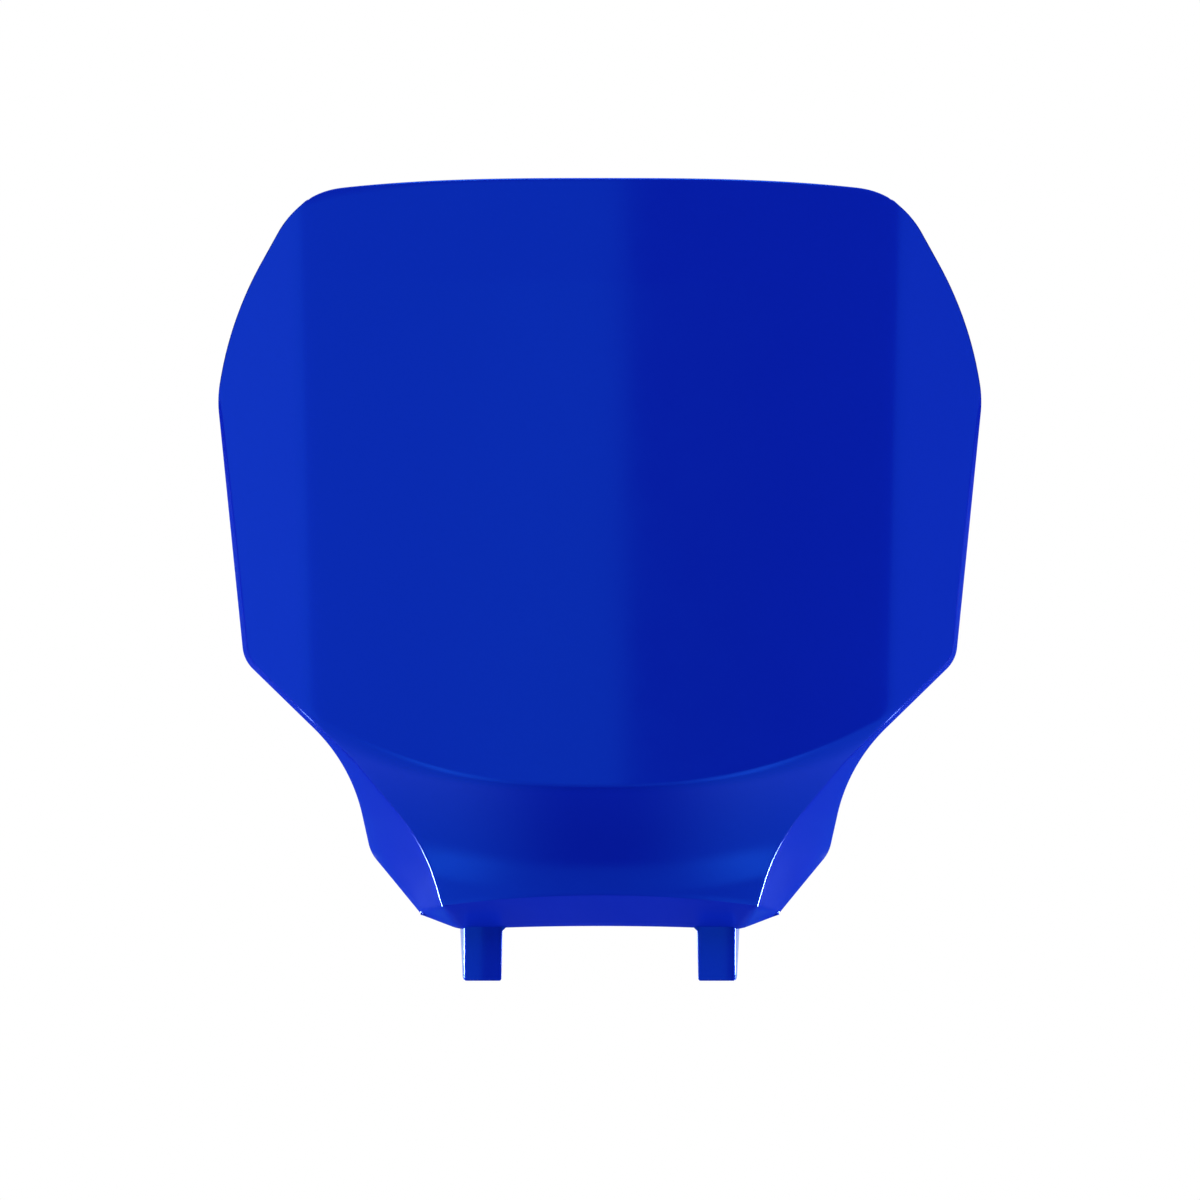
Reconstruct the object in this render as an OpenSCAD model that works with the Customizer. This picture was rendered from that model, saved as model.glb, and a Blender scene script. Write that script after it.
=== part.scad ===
// Racing number board: one glossy plastic moulding, carried in front of a motorbike's handlebar.
// Millimetres, +Z up, +X to the right of someone who faces the board, the front faces -Y.
// The origin is the centre of the bolt hole in the lug behind the board, and heights count from it.

/* [Board] */
// Width across the widest corners, before these are rounded
board_w = 240.8; // [225:0.2:260]
// Height of the board, from the top edge down to the fold, at the middle
board_h = 191.1; // [175:0.1:210]
// Height of the top edge above the bolt, at the middle
top_z = 57.1; // [50:0.1:65]
// Wall of the moulding
wall_t = 2.4; // [1.8:0.1:3]
// Radius of the bend across the middle of the board
bend_r = 330; // [250:5:450]
// Distance between the two lines where the outer bands turn back
band_w = 186; // [176:1:192]
// Angle of those lines from upright
band_flare = 1.4; // [0:0.1:2.4]
// Half width of the soft turn there
band_soft = 4; // [2:0.5:6]
// Angle of the outer bands, from the face of the board
band_turn = 28; // [22:1:34]
// Angle by which the top of the board leans back
lean_turn = 2.5; // [0:0.5:5]
// Height of the part that leans back, at the top
lean_h = 32.7; // [28:0.1:38]

/* [Outline of the board] */
// Fall of the top edge over its nearly straight part
crown = 2.3; // [1:0.1:3]
// Width of that nearly straight part
crown_w = 150; // [140:1:160]
// Fall from the middle of the top edge to its ends
corner_fall = 7.1; // [6:0.1:9]
// Distance across which each end of the top edge turns down
corner_run = 12.6; // [9:0.1:18]
// Inset of those ends from the widest corners
corner_in = 27.8; // [26:0.1:31]
// Drop from there to the upper corners
upper_fall = 5.5; // [4.5:0.1:7]
// Inset of the upper corners
upper_in = 21.6; // [19:0.1:24]
// Radius of the upper corners
upper_r = 30; // [12:1:36]
// Drop from there to the shoulders
shoulder_fall = 31; // [26:0.1:36]
// Inset of the shoulders
shoulder_in = 4.3; // [2:0.1:7]
// Radius of the shoulders
shoulder_r = 113; // [50:1:118]
// Drop from there to the widest corners
wide_fall = 25.2; // [22:0.1:32]
// Radius of the widest corners
wide_r = 36; // [20:1:44]
// Height of the lower corners above the sides of the fold
waist_rise = 22.1; // [18:0.1:27]
// Inset of the lower corners
waist_in = 8.4; // [5:0.1:12]
// Radius of the lower corners
waist_r = 11; // [5:1:15]

/* [Rolled edge] */
// Width of the rolled edge, seen from the front
roll_w = 1.6; // [1.3:0.1:2.2]
// Depth of the rolled edge down the sides
roll_h = 3.3; // [2.4:0.1:4]
// Height where the rolled edge starts
roll_start_z = 6; // [-4:1:18]
// Height from which it has its full depth
roll_full_z = -62; // [-80:1:-25]
// Small bevel along both corners of every free edge
edge_c = 0.35; // [0.15:0.05:0.5]

/* [Chin] */
// Height of the chin, from the fold down to the lip, at the middle
chin_h = 33.8; // [31:0.1:39]
// Rise of the fold from the middle to the side walls
fold_rise = 17.8; // [15:0.1:20]
// Half width of the fold's rounding at the middle
fold_soft = 1.5; // [1:0.1:3.5]
// Half width of the fold's rounding at the side walls
fold_soft_side = 5; // [3:0.5:6]
// Angle of the chin just under the fold, from upright
chin_turn = 38; // [30:1:44]
// Angle of the chin at its foot
foot_turn = 7; // [4:1:11]
// Height of the lip, at the middle
lip_h = 10; // [9:0.1:12]
// Angle of the lip, from upright
lip_turn = 53; // [48:1:58]
// Width across the lower corners of the lip
lip_w = 112; // [108:0.1:116]
// Fall from the lip's upper line to those corners
lip_fall = 6.6; // [5.5:0.1:8]

/* [Side walls of the chin] */
// Angle of the side walls, from the face of the board
side_turn = 65; // [58:1:68]
// Width across the necks, where the outline turns down beside the chin
neck_w = 156.4; // [152:0.1:160]
// Drop from the sides of the fold to the necks
neck_fall = 10.6; // [9:0.1:12.5]
// Radius of the necks
neck_r = 53; // [25:1:58]
// Width across the tips of the side walls
wing_w = 144.8; // [140:0.1:148]
// Height of those tips above the lip
wing_rise = 13; // [11:0.1:15]
// Radius of those tips
wing_r = 12; // [5:1:18]
// Width between the creases of chin and side walls, at the sides of the fold
crease_w = 174; // [171:0.1:176]
// Width between the upper bends of the creases
crease_upper_w = 155.6; // [152:0.1:158]
// Drop from the sides of the fold to those bends
crease_upper_fall = 8.6; // [7.5:0.1:10]
// Radius of those bends
crease_upper_r = 80; // [30:1:90]
// Width between the lower bends of the creases
crease_lower_w = 110; // [106:0.1:114]
// Height of those bends above the lip
crease_lower_rise = 15.5; // [13:0.1:18]
// Radius of those bends
crease_lower_r = 60; // [25:1:75]
// Width between the lower ends of the creases
crease_foot_w = 98.8; // [96:0.1:101]
// Half width of the rounding along the creases
crease_soft = 0.5; // [0.3:0.1:0.9]

/* [Pegs] */
// Distance between the inner faces of the two pegs, at the root
peg_gap = 61.1; // [57:0.1:64]
// Width of a peg at the root, over its rear edge
peg_w = 13.4; // [12:0.1:14.5]
// Length of a peg below the lip
peg_l = 17; // [12:0.5:24]
// Depth of a peg, front to back
peg_d = 10; // [8:0.5:13]
// Wall of a peg
peg_t = 2.2; // [1.8:0.1:2.8]
// Narrowing of a peg on its outer face, root to tip
peg_taper = 0.8; // [0:0.1:1.4]
// Set-back of the outer wall's front edge, which lets the peg leave the mould
peg_draft = 1.2; // [0.6:0.1:1.8]
// Radius of the peg's outer edges
peg_r = 1.4; // [0.8:0.1:1.8]
// Size of the small slope at the peg's inner root
peg_root = 1.3; // [0.5:0.1:2]
// Wall of the two webs that carry a peg
web_t = 1.6; // [1.2:0.1:1.8]
// Height of the webs above the lip, behind the chin
web_rise = 15.8; // [8:0.1:24]

/* [Bolt lug] */
// Thread size of the bolt that holds the board
bolt_d = 6; // [5:1:8]
// Room around the bolt, on the radius
bolt_room = 0.3; // [0.1:0.05:0.5]
// Distance from the back of the board to the bolt
lug_reach = 24; // [20:1:32]
// Width of the lug
lug_w = 22; // [19:1:28]
// Thickness of the lug
lug_t = 4; // [3:0.5:6]
// Height of the two braces under the lug
brace_h = 22; // [14:1:32]
// Distance from the middle of the bolt to the end of each brace
brace_end = 2; // [0:0.5:6]
// Wall of the braces
brace_t = 2.2; // [1.6:0.1:2.8]

/* [Hidden] */
$fn = 64;

// Depths are laid out from the front middle of the board, and the bolt stands this far behind it.
bolt_y = wall_t + lug_reach;

// Inner and outer face of a peg, across.
peg_in = peg_gap / 2;
peg_out = peg_in + peg_w;

// Heights of the fold, at the middle and at its sides, and of the lip's upper line and foot.
fold_z = top_z - board_h;
fold_side_z = fold_z + fold_rise;
lip_z = fold_z - chin_h;
lip_foot_z = lip_z - lip_h;

// The free edge of the board and chin, from the end of the top edge down: across, height, radius.
half_w = board_w / 2;
corner_z = top_z - corner_fall;
upper_z = corner_z - upper_fall;
shoulder_z = upper_z - shoulder_fall;
wide_z = shoulder_z - wide_fall;
waist_z = fold_side_z + waist_rise;
wing_z = lip_z + wing_rise;
corner_top = [half_w - corner_in, corner_z];
edge_corners = [
    [half_w - upper_in, upper_z, upper_r],
    [half_w - shoulder_in, shoulder_z, shoulder_r],
    [half_w, wide_z, wide_r],
    [half_w - waist_in, waist_z, waist_r],
    [neck_w / 2, fold_side_z - neck_fall, neck_r],
    [wing_w / 2, wing_z, wing_r],
];
lip_corner = [lip_w / 2, lip_z - lip_fall];

// The crease between chin and side wall, from the fold down to the lip.
crease_top = [crease_w / 2, fold_side_z];
crease_corners = [
    [crease_upper_w / 2, fold_side_z - crease_upper_fall, crease_upper_r],
    [crease_lower_w / 2, lip_z + crease_lower_rise, crease_lower_r],
];

// Vectors in the plane and in space, and a value held between 0 and 1.
function unit(v) = v / norm(v);
function flat(p) = [p[0], p[2]];
function between(a, b, t) = a + (b - a) * t;
function share(v, from, to) = min(1, max(0, (v - from) / (to - from)));

// One corner of an outline, rounded by an arc of n steps.
function corner_arc(a, p, b, r, n) =
    let (
        ua = unit(a - p),
        ub = unit(b - p),
        half = acos(ua * ub) / 2,
        mid = p + unit(ua + ub) * r / sin(half),
        from = p + ua * r / tan(half) - mid,
        to = p + ub * r / tan(half) - mid,
        sweep = acos(unit(from) * unit(to))
    )
    [for (i = [0:n]) mid + (from * sin(sweep * (1 - i / n)) + to * sin(sweep * i / n)) / sin(sweep)];

// The arcs of an open outline, and the outline itself as rows of height and distance for lookup().
function stops(start, corners, end) = concat([start], [for (c = corners) [c[0], c[1]]], [end]);
function arc_at(line, corners, i, n) = corner_arc(line[i], line[i + 1], line[i + 2], corners[i][2], n);
function rounded_line(line, corners) = [
    [line[0][1], line[0][0]],
    for (i = [0:len(corners) - 1]) for (q = arc_at(line, corners, i, 24)) [q[1], q[0]],
    [line[len(line) - 1][1], line[len(line) - 1][0]],
];

edge_stops = stops(corner_top, edge_corners, lip_corner);
edge_line = rounded_line(edge_stops, edge_corners);

// Gives 0 below -s, the value itself above s, and a smooth bend between.
function soft(v, s) = v <= -s ? 0 : v >= s ? v : (v + s) ^ 2 / (4 * s);

// The board bends gently across the middle, then turns to the flatter outer bands.
function band_x(z) = band_w / 2 + z * tan(band_flare);
function bend(x, z) =
    let (
        a = band_x(z) - band_soft,
        b = band_x(z) + band_soft,
        slope_in = a / bend_r,
        slope_out = tan(band_turn),
        start = a ^ 2 / (2 * bend_r),
        run = abs(x) - a
    )
    run < 0 ? x ^ 2 / (2 * bend_r)
    : run < 2 * band_soft ? start + slope_in * run + (slope_out - slope_in) * run ^ 2 / (4 * band_soft)
    : start + (slope_in + slope_out) * band_soft + slope_out * (abs(x) - b);

// The top of the board leans back a little.
lean_z = top_z - lean_h;
lean_soft = 1.2;
function lean(z) = tan(lean_turn) * soft(z - lean_z, lean_soft);

// The fold is an arc, sharp at the middle and softer toward the side walls.
function fold_line(x) = fold_z + fold_rise * min(1.15, abs(x) / crease_top[0]) ^ 2.4;
function fold_round(x) = between(fold_soft, fold_soft_side, min(1.2, abs(x) / crease_top[0]) ^ 2);

// Below the fold the chin runs back, steep at first and nearly upright at its foot.
chin_curl = (tan(chin_turn) - tan(foot_turn)) / (2 * chin_h);
function chin(x, z) =
    let (h = soft(fold_line(x) - z, fold_round(x)), curled = min(h, chin_h))
    tan(chin_turn) * curled - chin_curl * curled ^ 2 + tan(foot_turn) * (h - curled);

// The lip is one flat bevel across the foot of the chin.
lip_soft = 0.5;
function lip(z) = chin(0, lip_z) + (lip_z - z) * tan(lip_turn);
function lip_line(x) =
    lip_z - (bend(x, lip_z) + chin(x, lip_z) - lip(lip_z)) / (tan(lip_turn) - tan(foot_turn));

// The crease ends on the lip's upper line, and goes on to the outer root of a peg.
crease_foot = [crease_foot_w / 2, lip_line(crease_foot_w / 2)];
crease_line = rounded_line(stops(crease_top, crease_corners, crease_foot), crease_corners);
lip_foot = [peg_out + 0.15, lip_foot_z - 1];

// Depth of the front face behind the middle of the board.
function face_y(x, z) =
    let (board_y = bend(x, z) + lean(z) + chin(x, z))
    board_y + soft(lip(z) - board_y, lip_soft);

// Slope, stretch and unit normal of the front face. The normal points to the back.
function face_slope(p) = [
    (face_y(p[0] + 0.2, p[1]) - face_y(p[0] - 0.2, p[1])) / 0.4,
    (face_y(p[0], p[1] + 0.2) - face_y(p[0], p[1] - 0.2)) / 0.4,
];
function face_lean(p) = sqrt(1 + face_slope(p) * face_slope(p));
function face_normal(p) = let (g = face_slope(p)) unit([-g[0], 1, -g[1]]);
function face(p, back = 0) = [p[0], face_y(p[0], p[1]) + back * wall_t * face_lean(p), p[1]];

// Rows of the loft, by their height at the free edge: close together where the outline or the face turns.
// The fold's row meets the edge at fold_edge_z, and the lip's upper line meets it at lip_row_z.
fold_edge_z = fold_side_z - roll_w * 0.6;
lip_row_z = lip_corner[1] + roll_w * 0.75;
function arc_z(i) = let (arc = arc_at(edge_stops, edge_corners, i, 1)) [arc[0][1], arc[1][1]];
row_marks = [
    [corner_z, 4],
    [arc_z(0)[1], 3],
    [lean_z + lean_soft, 2],
    [lean_z - lean_soft, 4],
    [arc_z(2)[0], 4],
    [arc_z(2)[1], 4],
    [arc_z(3)[0], 5],
    [arc_z(3)[1], 2],
    [fold_side_z + fold_soft_side, 6],
    [fold_side_z - fold_soft_side, 8],
    [arc_z(5)[0], 4],
    [arc_z(5)[1], 5],
    [lip_row_z, 2],
    [lip_corner[1], 0],
];
side_rows = concat(
    [for (m = [0:len(row_marks) - 2]) for (i = [0:row_marks[m][1] - 1])
        between(row_marks[m][0], row_marks[m + 1][0], i / row_marks[m][1])],
    [lip_corner[1]]
);
last = len(side_rows) - 1;
lip_row = last - 2;

// Height of each row at the middle: level in the middle of the board, bowed toward its top and its fold.
level_z = (wide_z + waist_z) / 2;
function mid_z(i) =
    let (z = side_rows[i])
    i > lip_row ? between(lip_z, lip_foot_z, (i - lip_row) / 2)
    : z < fold_edge_z ? between(fold_z, lip_z, share(z, fold_edge_z, lip_row_z))
    : z + (top_z - corner_z) * share(z, lean_z, corner_z) ^ 1.5
        - (fold_edge_z - fold_z) * share(z, level_z, fold_edge_z);

// Top edge of the board: nearly straight, then turning down into the corner.
corner_drop = corner_fall - crown * (2 * corner_top[0] / crown_w) ^ 3;
function top_edge(x) =
    top_z - crown * (2 * x / crown_w) ^ 3
    - corner_drop * share(x, corner_top[0] - corner_run, corner_top[0]) ^ 2.4;

// Where a row meets the free edge, and the unit vector from there into the board.
function edge_point(i) = [lookup(side_rows[i], edge_line), side_rows[i]];
function edge_inward(i) =
    let (z = side_rows[i], run = (lookup(z + 0.4, edge_line) - lookup(z - 0.4, edge_line)) / 0.8)
    unit([-1, run]);

// Where a row meets the crease, or higher up the inner border of the rolled edge.
crease_heights = [[fold_edge_z, fold_side_z], [wing_z, wing_z], [lip_row_z, crease_foot[1]]];
border_w = [[roll_start_z, roll_w * 0.75], [roll_full_z, roll_w]];
function crease_point(i) =
    let (z = side_rows[i], e = edge_point(i), c = lookup(z, crease_heights))
    i == 0 ? [e[0] - roll_w / 2, top_edge(e[0] - roll_w / 2)]
    : z > fold_edge_z ? e + edge_inward(i) * lookup(z, border_w)
    : i <= lip_row ? [lookup(c, crease_line), c]
    : between(crease_foot, lip_foot, (i - lip_row) / 2);

// Distance from the crease to the free edge, square to the crease.
function crease_run(i) =
    let (
        c = lookup(side_rows[i], crease_heights),
        slope = (lookup(c + 1, crease_line) - lookup(c - 1, crease_line)) / 2,
        to_edge = edge_point(i) - crease_point(min(i, lip_row))
    )
    to_edge * unit([1, -slope]);

// Depth of the free edge: plain at the top, rolled down the sides, deep along the chin's walls.
roll_depth = [[roll_start_z, 0], [roll_full_z, roll_h]];
function edge_depth(i) =
    let (
        z = side_rows[i],
        e = edge_point(i),
        c = crease_point(min(i, lip_row)),
        plain = face_y(e[0], e[1]),
        crease_y = face_y(c[0], c[1])
    )
    z > fold_side_z + fold_soft_side ? max(plain, crease_y + lookup(z, roll_depth))
    : crease_y + (z > fold_edge_z ? roll_h : crease_run(i) * tan(side_turn));
function edge_3d(i) = let (e = edge_point(i)) [e[0], edge_depth(i), e[1]];

// Columns of the loft from the middle to the crease, closer together at the turn to the outer bands.
inner_cols = 6;
turn_cols = 4;
outer_cols = 3;
cols = inner_cols + turn_cols + outer_cols;
function col_x(i, end_x, j) =
    let (
        x = band_x(mid_z(i)),
        a = min(x - band_soft, 0.84 * end_x),
        b = min(x + band_soft, 0.93 * end_x)
    )
    j <= inner_cols ? a * j / inner_cols
    : j <= inner_cols + turn_cols ? between(a, b, (j - inner_cols) / turn_cols)
    : between(b, end_x, (j - inner_cols - turn_cols) / outer_cols);

// How a row rises or falls from the middle (0) to its outer end (1), flat at first.
function row_bow(i) = side_rows[i] > lean_z ? 3.2 : 2.4 - 0.4 * share(side_rows[i], fold_edge_z, lip_row_z);
function row_point(i, end, j) =
    let (x = col_x(i, end[0], j))
    i == 0 ? [x, top_edge(x)] : [x, between(mid_z(i), end[1], (x / end[0]) ^ row_bow(i))];

// Half a row, from the middle to the free edge. The front face has back = 0, the back face back = 1.
// Both faces round the crease, and the back face lies one wall behind the front one.
corner_soft = wall_t;
function half_row(i, back) =
    let (
        c = crease_point(i),
        inward = i == 0 ? unit([-1, 0.12]) : i > lip_row ? [-1, 0] : edge_inward(i),
        edge = edge_3d(i),
        crease = face(c),
        out = unit(edge - crease),
        wall_normal = back_normal(out),
        joint = face_normal(c) + wall_normal,
        crease_b = crease + back * joint * 2 * wall_t / (joint * joint),
        s = min(i <= lip_row ? crease_soft : corner_soft, norm(edge - crease) * 0.35),
        end = flat(crease_b) + inward * s,
        near = face(end, back),
        far = crease_b + out * s * (1 - back / 2),
        edge_b = edge + back * (wall_normal * wall_t - out * edge_c)
    )
    concat(
        [for (j = [0:cols]) face(row_point(i, end, j), back)],
        [(near + far) / 4 + crease_b / 2, far, between(far, edge_b, 0.5), edge_b]
    );

// Unit vector square to one that runs outward over the face, toward the back.
function back_normal(out) = let (h = norm(flat(out))) [-out[1] * out[0] / h, h, -out[1] * out[2] / h];

// A full row, left edge to right edge.
function whole_row(half) =
    concat([for (j = [len(half) - 1:-1:1]) [-half[j][0], half[j][1], half[j][2]]], half);

front = [for (i = [0:last]) whole_row(half_row(i, 0))];
back = [for (i = [0:last]) whole_row(half_row(i, 1))];
row_len = len(front[0]);

// The free edge, all the way round, and at each place its unit vectors outward and to the back.
ring = concat(
    [for (j = [0:row_len - 1]) [0, j]],
    [for (i = [1:last]) [i, row_len - 1]],
    [for (j = [row_len - 2:-1:0]) [last, j]],
    [for (i = [last - 1:-1:1]) [i, 0]]
);
ring_len = len(ring);
function at(grid, k) = grid[k[0]][k[1]];
function inner_of(k) = [min(max(k[0], 1), last - 1), min(max(k[1], 1), row_len - 2)];
function ring_out(n) =
    let (
        here = at(front, ring[n]),
        along = unit(at(front, ring[(n + 1) % ring_len]) - at(front, ring[(n + ring_len - 1) % ring_len])),
        v = here - at(front, inner_of(ring[n]))
    )
    unit(v - along * (v * along));

// The bevelled edge of the sheet: distance outward and distance to the back, for each of its four lines.
edge_section = [[-edge_c, 0], [0, edge_c], [0, wall_t - edge_c], [-edge_c, wall_t]];
count = (last + 1) * row_len;
loft_points = concat(
    [for (r = front) for (p = r) p],
    [for (r = back) for (p = r) p],
    [for (e = edge_section) for (n = [0:ring_len - 1])
        let (out = ring_out(n)) at(front, ring[n]) + out * e[0] + back_normal(out) * e[1]]
);

// Faces of the sheet end on the edge's own points, all others use the faces' own.
function ring_place(i, j) =
    i == 0 ? j
    : j == row_len - 1 ? row_len - 1 + i
    : i == last ? row_len - 1 + last + (row_len - 1 - j)
    : j == 0 ? ring_len - i
    : -1;
function point_id(i, j, first, ring_first) =
    let (r = ring_place(i, j))
    r < 0 ? first + i * row_len + j : ring_first + r;
function front_id(i, j) = point_id(i, j, 0, 2 * count);
function back_id(i, j) = point_id(i, j, count, 2 * count + 3 * ring_len);
loft_faces = concat(
    [for (i = [0:last - 1]) for (j = [0:row_len - 2]) each [
        [front_id(i, j), front_id(i, j + 1), front_id(i + 1, j + 1)],
        [front_id(i, j), front_id(i + 1, j + 1), front_id(i + 1, j)],
        [back_id(i, j), back_id(i + 1, j + 1), back_id(i, j + 1)],
        [back_id(i, j), back_id(i + 1, j), back_id(i + 1, j + 1)],
    ]],
    [for (line = [0:2]) for (n = [0:ring_len - 1])
        let (p = 2 * count + line * ring_len, q = p + ring_len, m = (n + 1) % ring_len)
        each [[p + n, q + n, q + m], [p + n, q + m, p + m]]]
);

// The moulded sheet itself: board, rolled edges, chin, side walls and lip in one loft.
module shell() {
    polyhedron(loft_points, loft_faces);
}

// The front face of a peg is flush with the foot of the lip.
peg_y = lip(lip_foot_z);
peg_top_z = lip_foot_z + wall_t;
peg_tip_z = lip_foot_z - peg_l;

// Front outline of a peg: tapered, with a small slope at the inner root and rounded tip corners.
module peg_outline() {
    root_out = [peg_out, lip_foot_z];
    root_in = [peg_in, lip_foot_z - peg_root];
    tip_out = [peg_out - peg_taper, peg_tip_z];
    tip_in = [peg_in + peg_taper / 2, peg_tip_z];
    slope_x = peg_in - peg_root;
    polygon(concat(
        [root_in, [slope_x, lip_foot_z], [slope_x, peg_top_z], [peg_out, peg_top_z], root_out],
        corner_arc(root_out, tip_out, tip_in, peg_r, 5),
        corner_arc(tip_out, tip_in, root_in, peg_r / 2, 4)
    ));
}

// Section of a peg, seen from above: a channel open to the back, its outer wall drafted.
module peg_section() {
    face_out = peg_out - peg_draft;
    difference() {
        polygon(concat(
            [[peg_in - peg_root, 0]],
            corner_arc([peg_in, 0], [face_out, 0], [peg_out, peg_d], peg_r, 6),
            [[peg_out, peg_d], [peg_in, peg_d], [peg_in, peg_t], [peg_in - peg_root, peg_t]]
        ));
        polygon([
            [peg_in + peg_t, peg_t], [face_out - peg_t, peg_t],
            [peg_out - peg_t, peg_d + 1], [peg_in + peg_t, peg_d + 1],
        ]);
    }
}

module peg() {
    translate([0, peg_y, 0]) intersection() {
        translate([0, peg_d, 0]) rotate([90, 0, 0]) linear_extrude(peg_d) peg_outline();
        translate([0, 0, peg_tip_z]) linear_extrude(peg_top_z - peg_tip_z) peg_section();
    }
}

// A web carries one wall of a peg up behind the lip, into the back of the chin.
function web_heights(x) = [
    peg_top_z - wall_t / 2,
    for (i = [0:5]) between(lip_line(x), lip_z + web_rise, i / 5),
];
module web(x) {
    rear_y = peg_y + peg_d;
    root_z = lip_foot_z - 1;
    translate([x - web_t / 2, 0, 0]) rotate([90, 0, 90]) linear_extrude(web_t) polygon(concat(
        [for (z = web_heights(x)) [face_y(x, z) + 0.6 * wall_t * face_lean([x, z]), z]],
        [[rear_y, lip_foot_z], [rear_y, root_z], [rear_y - peg_d / 2, root_z]]
    ));
}

// The lug behind the board takes the bolt, and two braces hold it square.
module lug() {
    root_y = -lug_reach - wall_t / 3;
    difference() {
        linear_extrude(lug_t, center = true) union() {
            circle(d = lug_w);
            translate([-lug_w / 2, root_y]) square([lug_w, -root_y]);
        }
        cylinder(h = lug_t + 1, r = bolt_d / 2 + bolt_room, center = true);
    }
    for (side = [-1, 1])
        translate([side * (lug_w - brace_t) / 2 - brace_t / 2, 0, 0]) rotate([90, 0, 90])
            linear_extrude(brace_t)
                polygon([[root_y, 0], [root_y, -brace_h], [-brace_end, -lug_t / 2], [-brace_end, 0]]);
}

module number_board() {
    color("mediumblue") {
        translate([0, -bolt_y, 0]) {
            shell();
            for (side = [0, 1]) mirror([side, 0, 0]) {
                peg();
                web(peg_in + peg_t / 2);
                web(peg_out - peg_draft / 2 - peg_t / 2);
            }
        }
        lug();
    }
}

number_board();
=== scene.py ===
import math

import bmesh
import bpy
import numpy as np
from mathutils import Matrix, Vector


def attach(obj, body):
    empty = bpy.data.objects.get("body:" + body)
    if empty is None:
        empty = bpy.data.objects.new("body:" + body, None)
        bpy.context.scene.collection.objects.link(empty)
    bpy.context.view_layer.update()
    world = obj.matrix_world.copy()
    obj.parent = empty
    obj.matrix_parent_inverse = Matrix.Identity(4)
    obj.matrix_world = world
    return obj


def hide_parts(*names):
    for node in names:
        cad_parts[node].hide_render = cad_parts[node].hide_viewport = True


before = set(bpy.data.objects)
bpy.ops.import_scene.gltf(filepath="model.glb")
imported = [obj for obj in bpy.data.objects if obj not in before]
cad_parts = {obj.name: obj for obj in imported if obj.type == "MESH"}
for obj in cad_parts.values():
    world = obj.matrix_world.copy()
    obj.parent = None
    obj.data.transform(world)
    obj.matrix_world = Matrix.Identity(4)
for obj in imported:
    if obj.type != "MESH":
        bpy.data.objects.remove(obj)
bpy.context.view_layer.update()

# BOARD SHEET
# The real piece is one wall of glossy blue polypropylene, shot into a polished mould in one go.
# Board, outer bands, arched fold, receding chin, side walls, lip and rolled edge all flow into
# each other. Sizes are in millimetres, measured from the bolt hole in the lug behind the board.
wall = 2.4
bolt_reach = 24
bolt_behind_front = wall + bolt_reach
half_width = 120.4
top_height = 57.1
corner_drop, fold_rise, chin_drop = 7.1, 17.8, 33.8
fold_half_width = 87
fold_height = top_height - 191.1
fold_side_height = fold_height + fold_rise
lip_height = fold_height - chin_drop
lip_foot_height = lip_height - 10
corner_height = top_height - corner_drop
lean_height = top_height - 32.7
lean_softness = 1.2
bend_radius, turn_half = 330, 4
band_angle, lean_angle, lip_angle, wall_angle = 28, 2.5, 53, 65
chin_top_angle, chin_foot_angle = 38, 7
peg_inner = 61.1 / 2
peg_outer = peg_inner + 13.4

# Free edge of the moulding from the top corner down: across, height and radius of each corner.
edge_start = (half_width - 27.8, corner_height)
edge_corners = [
    (half_width - 21.6, corner_height - 5.5, 30),
    (half_width - 4.3, corner_height - 36.5, 113),
    (half_width, corner_height - 61.7, 36),
    (half_width - 8.4, fold_side_height + 22.1, 11),
    (78.2, fold_side_height - 10.6, 53),
    (72.4, lip_height + 13, 12),
]
edge_end = (56, lip_height - 6.6)


def tan(degrees):
    return math.tan(math.radians(degrees))


def rounded_corner(before, corner, after, radius, steps):
    """Points of the arc that rounds one corner of an outline."""
    a, p, b = (Vector(v[:2]) for v in (before, corner, after))
    to_a, to_b = (a - p).normalized(), (b - p).normalized()
    half = math.acos(to_a.dot(to_b)) / 2
    middle = p + (to_a + to_b).normalized() * radius / math.sin(half)
    start = p + to_a * radius / math.tan(half) - middle
    end = p + to_b * radius / math.tan(half) - middle
    return [middle + start.slerp(end, i / steps) * radius for i in range(steps + 1)]


def rounded_outline(start, corners, end):
    """Heights (rising) and distances from the middle of an outline with rounded corners."""
    stops = [start, *corners, end]
    points = [Vector(start)]
    for i, corner in enumerate(corners):
        points += rounded_corner(stops[i], corner, stops[i + 2], corner[2], 40)
    points.append(Vector(end))
    points = sorted((p[1], p[0]) for p in points)
    return np.array([p[0] for p in points]), np.array([p[1] for p in points])


def soft_ramp(value, reach):
    """Zero below -reach, the value itself above reach, and a smooth bend between."""
    bend_part = (np.clip(value, -reach, reach) + reach) ** 2 / (4 * reach)
    return np.where(value > reach, value, bend_part)


# The face bends gently across the middle, then turns over 8 mm to straight outer bands.
def band_line(z):
    return 93 + z * tan(1.4)


def bend_depth(x, z):
    inner = band_line(z) - turn_half
    start, slope_in, slope_out = inner**2 / (2 * bend_radius), inner / bend_radius, tan(band_angle)
    run = np.abs(x) - inner
    turn = np.clip(run, 0, 2 * turn_half)
    turned = start + slope_in * turn + (slope_out - slope_in) * turn**2 / (4 * turn_half)
    return np.where(run < 0, x**2 / (2 * bend_radius), turned + slope_out * (run - turn))


# Under an arched fold the chin runs back, and a flat bevelled lip closes its foot.
def fold_arch(x):
    return fold_height + fold_rise * np.minimum(1.15, np.abs(x) / fold_half_width) ** 2.4


def chin_depth(x, z):
    softness = 1.5 + 3.5 * np.minimum(1.2, np.abs(x) / fold_half_width) ** 2
    drop = soft_ramp(fold_arch(x) - z, softness)
    curled = np.minimum(drop, chin_drop)
    steep, shallow = tan(chin_top_angle), tan(chin_foot_angle)
    curl = (steep - shallow) / (2 * chin_drop)
    return steep * curled - curl * curled**2 + shallow * (drop - curled)


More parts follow.
